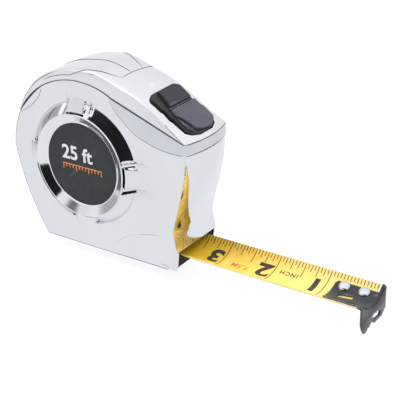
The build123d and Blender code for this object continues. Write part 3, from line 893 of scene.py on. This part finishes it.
def inch_ticks(bm, first, last):
    """Sixteenths of an inch along both edges, from the hook's outer face back."""
    for k in range(16, int((HOOK_X - REEL_X) / INCH * 16)):
        x = HOOK_X - k * INCH / 16
        if not first <= x < last:
            continue
        if k % 16 == 0:
            add_mark(bm, x - 0.2, x + 0.2, -FLAT_HALF + 0.3, FLAT_HALF - 0.3)
            continue
        add_mark(bm, x - TICK, x + TICK, FLAT_HALF - tick_length(k), FLAT_HALF - MARGIN)
        add_mark(bm, x - FINE_TICK, x + FINE_TICK, -FLAT_HALF + MARGIN, -FLAT_HALF + tick_length(k) * 0.75)


def first_inch_ticks(bm):
    """Short ticks beside the hook's plate."""
    for k in range(1, 16):
        x = HOOK_X - k * INCH / 16
        if x < BLADE_TIP - 0.2:
            add_mark(bm, x - TICK, x + TICK, FLAT_HALF - min(2.9, tick_length(k)), FLAT_HALF - MARGIN)


def blade_words(words, size, x_right, y_base, boldness, spacing=1, wide=1):
    """Text on the blade that reads with the hook on the left: its top points at -Y."""
    bm = text_mesh(words, size, boldness, spacing)
    bmesh.ops.scale(bm, vec=(wide, 1, 1), verts=bm.verts)
    bmesh.ops.triangulate(bm, faces=bm.faces)
    heights = [v.co.y for v in bm.verts]
    slice_across(bm, math.floor(min(heights)), max(heights), 0.8)
    move_verts(bm, lambda p: blade_point(x_right - p.x, y_base - p.y, PRINT_LIFT))
    return bm


bm = bmesh.new()
inch_ticks(bm, SPLIT_X, BLADE_TIP)
first_inch_ticks(bm)
finish_mesh("blade_ticks", bm, ink_thin, "blade", ())
bm = bmesh.new()
inch_ticks(bm, 12, SPLIT_X)
inner_ticks = finish_mesh("blade_ticks_inner", bm, ink_thin, "blade", ())
for digit, squashed in (("1", False), ("2", False), ("3", True)):
    x_line = HOOK_X - int(digit) * INCH
    bm = blade_words(digit, 12.4, x_line - 0.7, 6.6, 0.45, wide=1.18)
    piece = finish_mesh(f"numeral_{digit}", bm, ink, "blade", ())
    if squashed:
        inner_numeral = piece
bm = blade_words("INCH", 3.2, 100.4, 5.9, 0.08, 1.25)
finish_mesh("small_print", bm, ink_thin, "blade", ())
bm = blade_words("7.5M", 4.3, 77.4, 1.9, 0.12, 1.05)
finish_mesh("red_print", bm, ink_red, "blade", ())
for piece in (inner_blade, inner_ticks, inner_numeral):
    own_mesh(piece)


# ---- end hook
HOOK_T = 0.9
BEND_R = 1.6
HOOK_Y0, HOOK_Y1 = -11.6, 7.7  # edges of the plate on the blade
FACE_HALF = 11.7
WRAP_Y, WRAP = 10.9, 1.1  # beyond this y the plate's near edge turns down
BEND_Y0, BEND_Y1 = -10.7, 10.4  # the bend is level beyond these
SLOT, SLOT_WIDTH = 7.4, 2.5  # length and width of both slots
RIVETS = [(122.3, 6.3), (131.7, 6.3)]
# radius and height over the blade
RIVET_PROFILE = [(0.05, 2.05), (0.7, 2.05), (1.3, 1.98), (1.9, 1.82), (2.3, 1.6), (2.52, 1.3),
                 (2.5, 1.08), (1.4, 1)]


def flat_with_holes(loops):
    """Fills an outline with holes, each a list of flat points, and returns a bmesh."""
    curve = bpy.data.curves.new("loops", "CURVE")
    curve.dimensions = "2D"
    curve.fill_mode = "BOTH"
    for loop in loops:
        spline = curve.splines.new("POLY")
        spline.points.add(len(loop) - 1)
        for point, (u, v) in zip(spline.points, loop):
            point.co = (u, v, 0, 1)
        spline.use_cyclic_u = True
    return filled(curve)


def slot_loop(u, v, turn, steps=8):
    """The hook's rounded slot as a loop of points round (u, v), turned by degrees."""
    out = []
    half, r = (SLOT - SLOT_WIDTH) / 2, SLOT_WIDTH / 2
    cos, sin = math.cos(math.radians(turn)), math.sin(math.radians(turn))
    for end in (1, -1):
        for k in range(steps + 1):
            a = -math.pi / 2 + math.pi * k / steps + (0 if end > 0 else math.pi)
            du, dv = end * half + r * math.cos(a), r * math.sin(a)
            out.append((u + du * cos - dv * sin, v + du * sin + dv * cos))
    return out


def plate_height(y):
    """Upper side of the hook's plate at y."""
    wrap = max(0, -y - WRAP_Y)
    return BLADE_CZ - math.sqrt((BLADE_R - HOOK_T) ** 2 - min(abs(y), WRAP_Y) ** 2) - WRAP * wrap ** 2


def bend_height(y):
    """Top of the bend between the plate and the face at y."""
    return plate_height(min(max(y, BEND_Y0), BEND_Y1))


def thicken(piece, outward):
    """Gives a sheet its thickness, in from the side that looks outward."""
    if sum(p.normal.dot(outward) * p.area for p in piece.data.polygons) < 0:
        piece.data.flip_normals()
    solid = piece.modifiers.new("sheet", "SOLIDIFY")
    solid.thickness = HOOK_T * MM
    solid.offset = -1
    add_bevel(piece, 0.16, 2, 50)


def hook_plate():
    """The plate on the blade, with the slot of the near rivet."""
    outline = [(HOOK_X0, -3), (HOOK_X0, 6.4), (HOOK_X0 + 0.9, HOOK_Y1), (HOOK_X - BEND_R, HOOK_Y1),
               (HOOK_X - BEND_R, HOOK_Y0), (HOOK_X0 + 3.3, HOOK_Y0)]
    bm = flat_with_holes([outline, slot_loop(125.6, 0.4, 12)])
    slice_across(bm, HOOK_Y0 + 0.6, HOOK_Y1, 0.7)
    move_verts(bm, lambda p: Vector((p.x, p.y, plate_height(p.y))))
    piece = finish_mesh("hook_plate", bm, hook_steel, "hook", ["hook"], merge=0.01)
    thicken(piece, Vector((0, 0, 1)))


def hook_bend():
    """The quarter round from the plate down to the face."""
    rows = []
    for y in even(-FACE_HALF, FACE_HALF, 36):
        z = bend_height(y)
        flat = 1.2 if -9.8 < y < HOOK_Y1 else 0.1
        row = [Vector((HOOK_X - BEND_R - flat, y, z))]
        for a in even(0, math.pi / 2, 6):
            row.append(Vector((HOOK_X + BEND_R * (math.sin(a) - 1), y, z + BEND_R * (math.cos(a) - 1))))
        rows.append(row)
    bm = bmesh.new()
    add_grid(bm, rows)
    piece = finish_mesh("hook_bend", bm, hook_steel, "hook", (), merge=0.01)
    thicken(piece, Vector((1, 0, 1)))


def hook_face():
    """The face across the blade's end, with its slot and cut out lower edge."""
    top = [(y, bend_height(y) - BEND_R) for y in even(-FACE_HALF, FACE_HALF, 36)]
    low = [(FACE_HALF, 3.2), (FACE_HALF - 3.2, 0.5), (1.2, 0.4), (0.2, 2), (-2.6, 2.2), (-3.8, 0.9),
           (-5.2, 1.1), (-6.4, 0), (-8.8, 0.1), (-10.4, 2.6), (-FACE_HALF, 5.5)]
    bm = flat_with_holes([top + [(y, HOOK_Z0 + up) for y, up in low], slot_loop(2.7, -2.4, -8)])
    move_verts(bm, lambda p: Vector((HOOK_X, p.x, p.y)))
    piece = finish_mesh("hook_face", bm, hook_steel, "hook", (), merge=0.01)
    thicken(piece, Vector((1, 0, 0)))


def rivet(x, y, name, nodes):
    """A domed rivet head on the blade."""
    tilt = math.asin(y / BLADE_R)
    centre = Vector((x, y, blade_z(y)))
    up = Vector((0, -math.sin(tilt), math.cos(tilt)))
    ahead = Vector((1, 0, 0))
    side = up.cross(ahead)
    rows = []
    for a in even(0, 2 * math.pi, 40)[:-1]:
        out = ahead * math.cos(a) + side * math.sin(a)
        rows.append([centre + out * r + up * h for r, h in RIVET_PROFILE])
    bm = bmesh.new()
    add_grid(bm, rows, closed=True)
    finish_mesh(name, bm, bright_steel, "blade", nodes)


hook_plate()
hook_bend()
hook_face()
for number, (x, y) in enumerate(RIVETS, 1):
    rivet(x, y, f"rivet_{number}", ["hook_rivets"] if number == 1 else [])


# ---- toggle
# outlines as (along the slope, across)
BASE = [(-11.6, 7.2), (-9.6, 10.6), (-2.6, 10.5), (-2, 9.9), (3.2, 10.4), (3.6, 9.9), (11.6, 10.4),
        (13.8, 8.6), (15.4, 4.6)]
REAR_PAD = [(-11, -4.8), (-11.2, 6.6), (-9.2, 9.4), (-1.5, 9), (-1.5, -6.8), (-4.2, -6.2), (-7.6, -5.4)]
FRONT_PAD = [(-0.4, -7.6), (-0.4, 9.9), (4.2, 9.9), (4.8, 10.6), (11.2, 10.4), (13.2, 8.2), (14.8, 4.2),
             (14.2, -1.2), (12.6, -5), (9.4, -5.3), (6.2, -6.4), (3.4, -8)]
RIDGE = [(-1.15, -8.2), (-1.15, 8.6), (-0.75, 8.6), (-0.75, -8.2)]
WING = [(3.9, -8.7), (6.9, -7.1), (9.9, -6), (13.2, -5.7), (13.6, -6.9), (11.2, -8.9)]
PAD_FOOT = 0.3  # height where the pads start, inside the base


def rounded(points, radius, steps=4):
    """Cuts each corner of a closed outline with a small arc."""
    out = []
    count = len(points)
    for i, p in enumerate(points):
        p = Vector(p)
        a, b = Vector(points[i - 1]), Vector(points[(i + 1) % count])
        cut_a = p + (a - p).normalized() * min(radius, (a - p).length * 0.45)
        cut_b = p + (b - p).normalized() * min(radius, (b - p).length * 0.45)
        for t in even(0, 1, steps):
            q = cut_a.lerp(p, t).lerp(p.lerp(cut_b, t), t)
            out.append((q.x, q.y))
    return out


def toggle_piece(name, outline, low, high, material, nodes=(), bevel=0.5):
    """A block of the toggle between two heights above the slope."""
    bm = bmesh.new()
    add_prism(bm, outline, low, high, on_toggle)
    piece = finish_mesh(name, bm, material, "toggle", nodes)
    add_bevel(piece, bevel, 3, 40)


toggle_piece("toggle_base", rounded(mirrored(BASE), 0.7), -3.2, 0.85, toggle_painted_shade_side, ["toggle"], 0.35)
toggle_piece("toggle_pad_rear", rounded(REAR_PAD, 0.9), PAD_FOOT, 2.35, toggle_painted_dim_rear, (), 0.55)
toggle_piece("toggle_pad_front", rounded(FRONT_PAD, 0.9), PAD_FOOT, 1.95, toggle_painted_lit_front)
toggle_piece("toggle_ridge", rounded(RIDGE, 0.1), PAD_FOOT, 1.75, toggle_painted_lit_front, (), 0.1)
toggle_piece("toggle_wing", rounded(WING, 0.5), PAD_FOOT, 1.25, toggle_painted_dim_rear, (), 0.3)


# ---- floor, light, camera
def polar(azimuth, elevation):
    """Direction: azimuth 0 is -Y and 90 is +X."""
    a, e = math.radians(azimuth), math.radians(elevation)
    return Vector((math.sin(a) * math.cos(e), -math.cos(a) * math.cos(e), math.sin(e)))


def paper_floor():
    """A bright sheet under the part; the chrome doesn't see it."""
    bm = bmesh.new()
    bmesh.ops.create_grid(bm, x_segments=8, y_segments=8, size=900)
    move_verts(bm, lambda p: Vector((p.x, p.y, FLOOR_Z)) * MM)
    floor_mesh = bpy.data.meshes.new("floor")
    bm.to_mesh(floor_mesh)
    bm.free()
    floor = add_object("floor", floor_mesh)
    paper = bpy.data.materials.new("paper")
    paper.use_nodes = True
    shader = paper.node_tree.nodes["Principled BSDF"]
    set_inputs(shader, {"Base Color": (0.12, 0.12, 0.12, 1), "Roughness": 0.9,
                        "Emission Color": (0.965, 0.98, 1, 1), "Emission Strength": 0.93})
    floor_mesh.materials.append(paper)
    floor.visible_glossy = False


paper_floor()
world = bpy.data.worlds.new("studio")
bpy.context.scene.world = world
world.use_nodes = True
sky = world.node_tree
sky.nodes.clear()
sky_direction = sky.nodes.new("ShaderNodeTexCoord").outputs["Generated"]


def sky_math(op, a, b):
    """A maths node of the sky."""
    return maths(sky, op, a, b)


def sky_dot(direction):
    """Cosine of the angle between the view into the sky and a direction."""
    node = sky.nodes.new("ShaderNodeVectorMath")
    node.operation = "DOT_PRODUCT"
    sky.links.new(sky_direction, node.inputs[0])
    node.inputs[1].default_value = tuple(direction)
    return node.outputs["Value"]


def sky_step(value, low, high, to_low=0, to_high=1):
    """to_low below low, to_high above high, smooth between."""
    return spread(sky, value, to_low, to_high, low, high, "SMOOTHSTEP")


def sky_spot(azimuth, elevation, outer, inner, edge=0, middle=1):
    """A soft round spot: its value is edge outside the outer angle and middle inside the inner one."""
    return sky_step(sky_dot(polar(azimuth, elevation)), math.cos(math.radians(outer)),
                    math.cos(math.radians(inner)), edge, middle)


def black_flags():
    """Dark arcs low and high round the near side, kept off the lowest part of the sky."""
    ring_axis = polar(-8, -2)
    ring_right = polar(82, 0)
    ring_up = ring_axis.cross(ring_right)
    near = sky_dot(ring_axis)
    across = sky_dot(ring_right)
    upward = sky_dot(ring_up)
    ring_start = sky_step(near, 0.47, 0.51)
    inner_ring = sky_math("MULTIPLY", ring_start, sky_step(near, 0.945, 0.97, 1, 0))
    inner_turn = sky_math("SUBTRACT", sky_math("MULTIPLY", across, 0.956),
                          sky_math("MULTIPLY", upward, 0.292))
    flag_low = sky_math("MULTIPLY", inner_ring, sky_step(inner_turn, -0.01, 0.04))
    outer_ring = sky_math("MULTIPLY", ring_start, sky_step(near, 0.72, 0.76, 1, 0))
    outer_turn = sky_math("ADD", sky_math("MULTIPLY", across, 0.966), sky_math("MULTIPLY", upward, 0.259))
    flag_high = sky_math("MULTIPLY", outer_ring, sky_step(outer_turn, -0.03, 0.03))
    return sky_math("MULTIPLY", sky_math("MAXIMUM", flag_low, flag_high), sky_step(height, -0.24, -0.17))


def studio_level():
    """Brightness of the sky that the part sees."""
    front_dim = sky_spot(-30, 22, 24, 12, 1, 0.92)
    shoulder_box = sky_spot(-40, 66, 36, 24, 1, 1.2)
    teal = sky_spot(-23, 34, 13, 5)
    left_grey = sky_spot(-86, 3, 30, 12)
    level = sky_math("MULTIPLY", sky_step(height, 0.45, 0.85, 0.97, 1.15),
                     sky_math("MULTIPLY", front_dim, shoulder_box))
    for mask, amount in ((black_flags(), 0.985), (teal, 0.82), (left_grey, 0.5)):
        level = sky_math("MULTIPLY", level, sky_math("SUBTRACT", 1, sky_math("MULTIPLY", mask, amount)))
    return level


height = sky_dot(Vector((0, 0, 1)))
level = studio_level()
tint = sky.nodes.new("ShaderNodeCombineColor")
for channel, share in zip(tint.inputs, (0.975, 0.985, 1)):
    sky.links.new(sky_math("MULTIPLY", level, share), channel)
studio = sky.nodes.new("ShaderNodeBackground")
sky.links.new(tint.outputs[0], studio.inputs["Color"])
backdrop = sky.nodes.new("ShaderNodeBackground")
set_inputs(backdrop, {"Color": (1, 1, 1, 1), "Strength": 1.1})
# the camera sees the plain backdrop, the part sees the studio
path = sky.nodes.new("ShaderNodeLightPath")
chooser = sky.nodes.new("ShaderNodeMixShader")
sky.links.new(path.outputs["Is Camera Ray"], chooser.inputs[0])
sky.links.new(studio.outputs[0], chooser.inputs[1])
sky.links.new(backdrop.outputs[0], chooser.inputs[2])
sky.links.new(chooser.outputs[0], sky.nodes.new("ShaderNodeOutputWorld").inputs["Surface"])


def soft_light(name, place, target, size, watts):
    """A round area light that looks at target; the chrome doesn't mirror it."""
    light = bpy.data.lights.new(name, "AREA")
    light.shape = "DISK"
    light.size = size
    light.energy = watts
    lamp = add_object(name, light)
    lamp.location = place
    lamp.visible_glossy = False
    lamp.rotation_mode = "QUATERNION"
    lamp.rotation_quaternion = (Vector(target) - Vector(place)).to_track_quat("-Z", "Y")


soft_light("key", (-0.25, -0.35, 0.75), (0.03, 0, 0.03), 0.45, 5)
soft_light("rim", (0.35, 0.55, 0.55), (0.05, 0, 0.03), 0.5, 3)

FOCAL_PIXELS, FRAME_PIXELS, SENSOR = 1096.03, 400, 36
AZIMUTH, ELEVATION, ROLL = 34.29, 25.38, -1.1
CAMERA_AT = (0.30134, -0.365, 0.23998)
camera_data = bpy.data.cameras.new("camera")
camera_data.sensor_width = SENSOR
camera_data.lens = FOCAL_PIXELS / FRAME_PIXELS * SENSOR
camera_data.clip_start = 0.02
camera_data.clip_end = 20
camera = add_object("camera", camera_data)
backward = polar(AZIMUTH, ELEVATION)
level_right = (-backward).cross(Vector((0, 0, 1))).normalized()
level_up = level_right.cross(-backward)
roll = math.radians(ROLL)
right = level_right * math.cos(roll) + level_up * math.sin(roll)
up = level_up * math.cos(roll) - level_right * math.sin(roll)
turn = Matrix((right, up, backward)).transposed().to_4x4()
camera.matrix_world = Matrix.Translation(CAMERA_AT) @ turn
bpy.context.scene.camera = camera
bpy.context.scene.view_settings.view_transform = "Standard"
bpy.context.scene.view_settings.look = "None"
